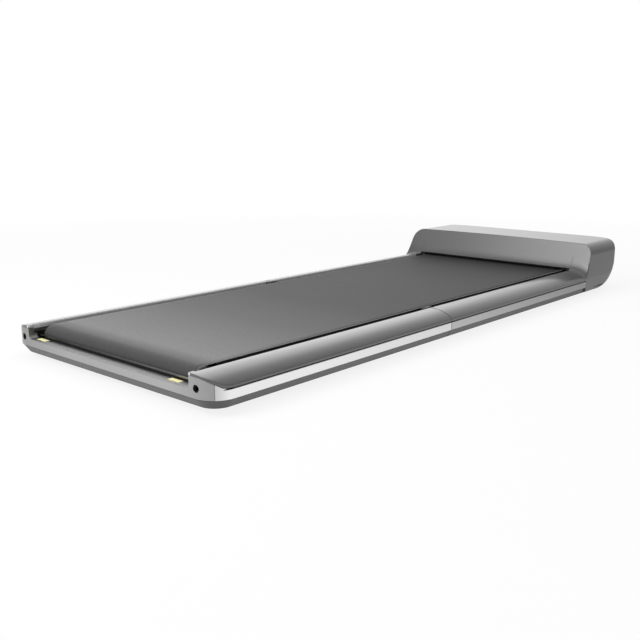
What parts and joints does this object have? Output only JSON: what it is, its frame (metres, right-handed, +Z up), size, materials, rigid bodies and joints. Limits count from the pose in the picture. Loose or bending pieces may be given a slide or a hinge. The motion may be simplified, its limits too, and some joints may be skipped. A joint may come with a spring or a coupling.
{
  "type": "walking pad",
  "caption": "Low folding walking pad with a dark belt between sloped side rails, bright side bands and a raised drive hood at the front end.",
  "frame": {"origin": "on the floor under the centre of the open pad's bounding box", "axes": "+Y along the walking direction towards the hood, +X to the right when facing the hood, +Z up"},
  "size_m": [0.547, 1.432, 0.129],
  "materials": {
    "shell": "satin moulded plastic",
    "band": "bright satin trim",
    "crossbar": "satin trim",
    "base": "fine texture",
    "belt": "fine woven texture",
    "frame_steel": "powder coat",
    "deck_board": "pressed board with a dark laminate",
    "soft_rubber": "matte",
    "roller_steel": "turned",
    "bright_steel": "ground",
    "black_nylon": "matte",
    "motor_paint": "satin",
    "circuit_board": "lacquered",
    "sink_metal": "anodised",
    "switch_plastic": "gloss",
    "mark": "matte",
    "black_bolt": "black oxide"
  },
  "bodies": {
    "front_half": {"front_shell": "shell", "front_band_left": "band", "front_band_right": "band", "front_base": "base", "front_frame_left": "frame_steel", "front_frame_right": "frame_steel", "front_cross_members": "frame_steel", "front_deck": "deck_board", "front_deck_cushions": "soft_rubber", "front_belt": "belt", "front_roller_shaft": "roller_steel", "drive_belt": "soft_rubber", "motor_housing": "motor_paint", "motor_bracket": "frame_steel", "controller_board": "circuit_board", "heat_sink": "sink_metal", "power_inlet": "black_nylon", "switch_frame": "switch_plastic", "wheel_axles": "bright_steel", "front_feet": "soft_rubber", "front_screws": "black_bolt", "front_guide_shafts": "roller_steel", "front_hinge_leaves": "frame_steel", "front_hinge_pins": "bright_steel"},
    "hinge_links": {"hinge_links": "frame_steel"},
    "rear_half": {"rear_rail_left": "shell", "rear_rail_right": "shell", "rear_band_left": "band", "rear_band_right": "band", "rear_crossbar": "crossbar", "rear_guard": "crossbar", "sill_marks": "mark", "rear_base": "base", "rear_frame_left": "frame_steel", "rear_frame_right": "frame_steel", "rear_cross_members": "frame_steel", "rear_deck": "deck_board", "rear_deck_cushions": "soft_rubber", "rear_belt": "belt", "rear_roller_shaft": "roller_steel", "tension_bolts": "black_bolt", "rear_guide_shafts": "roller_steel", "rear_feet": "soft_rubber", "rear_screws": "black_bolt", "rear_hinge_leaves": "frame_steel", "rear_hinge_pins": "bright_steel"},
    "front_roller": {"front_roller": "roller_steel", "front_roller_bearings": "bright_steel", "roller_pulley": "black_nylon"},
    "rear_roller": {"rear_roller": "roller_steel", "rear_roller_bearings": "bright_steel"},
    "front_upper_guide": {"front_upper_guide": "black_nylon"},
    "front_lower_guide": {"front_lower_guide": "black_nylon"},
    "rear_upper_guide": {"rear_upper_guide": "black_nylon"},
    "rear_lower_guide": {"rear_lower_guide": "black_nylon"},
    "motor_rotor": {"motor_rotor": "bright_steel"},
    "wheel_left": {"wheel_left": "soft_rubber"},
    "wheel_right": {"wheel_right": "soft_rubber"},
    "switch_rocker": {"switch_rocker": "switch_plastic"}
  },
  "joints": [
    {"name": "link_fold", "type": "hinge", "parent": "front_half", "child": "hinge_links", "pos_m": [0, -0.0965, 0.058], "axis": [-1, 0, 0], "range_deg": [0, 90]},
    {"name": "rear_fold", "type": "hinge", "parent": "hinge_links", "child": "rear_half", "pos_m": [0, -0.1155, 0.058], "axis": [-1, 0, 0], "range_deg": [0, 90]},
    {"name": "front_roller_spin", "type": "hinge", "parent": "front_half", "child": "front_roller", "pos_m": [0, 0.548, 0.0409], "axis": [1, 0, 0], "continuous": true},
    {"name": "rear_roller_spin", "type": "hinge", "parent": "rear_half", "child": "rear_roller", "pos_m": [0, -0.674, 0.0409], "axis": [1, 0, 0], "continuous": true},
    {"name": "front_upper_guide_spin", "type": "hinge", "parent": "front_half", "child": "front_upper_guide", "pos_m": [0, -0.082, 0.0433], "axis": [1, 0, 0], "continuous": true},
    {"name": "front_lower_guide_spin", "type": "hinge", "parent": "front_half", "child": "front_lower_guide", "pos_m": [0, -0.044, 0.0309], "axis": [1, 0, 0], "continuous": true},
    {"name": "rear_upper_guide_spin", "type": "hinge", "parent": "rear_half", "child": "rear_upper_guide", "pos_m": [0, -0.13, 0.0433], "axis": [1, 0, 0], "continuous": true},
    {"name": "rear_lower_guide_spin", "type": "hinge", "parent": "rear_half", "child": "rear_lower_guide", "pos_m": [0, -0.168, 0.0309], "axis": [1, 0, 0], "continuous": true},
    {"name": "motor_spin", "type": "hinge", "parent": "front_half", "child": "motor_rotor", "pos_m": [0, 0.64, 0.07], "axis": [1, 0, 0], "continuous": true},
    {"name": "wheel_left_spin", "type": "hinge", "parent": "front_half", "child": "wheel_left", "pos_m": [-0.192, 0.602, 0.0215], "axis": [1, 0, 0], "continuous": true},
    {"name": "wheel_right_spin", "type": "hinge", "parent": "front_half", "child": "wheel_right", "pos_m": [0.192, 0.602, 0.0215], "axis": [1, 0, 0], "continuous": true},
    {"name": "switch_tilt", "type": "hinge", "parent": "front_half", "child": "switch_rocker", "pos_m": [-0.116, 0.7125, 0.087], "axis": [-1, 0, 0], "range_deg": [0, 17]}
  ],
  "couplings": [
    {"joint": "rear_fold", "follows": "link_fold", "ratio": 1},
    {"joint": "rear_roller_spin", "follows": "front_roller_spin", "ratio": 1},
    {"joint": "front_upper_guide_spin", "follows": "front_roller_spin", "ratio": -2.0204},
    {"joint": "front_lower_guide_spin", "follows": "front_roller_spin", "ratio": 2.0204},
    {"joint": "rear_upper_guide_spin", "follows": "front_roller_spin", "ratio": -2.0204},
    {"joint": "rear_lower_guide_spin", "follows": "front_roller_spin", "ratio": 2.0204},
    {"joint": "motor_spin", "follows": "front_roller_spin", "ratio": 1.8856}
  ]
}
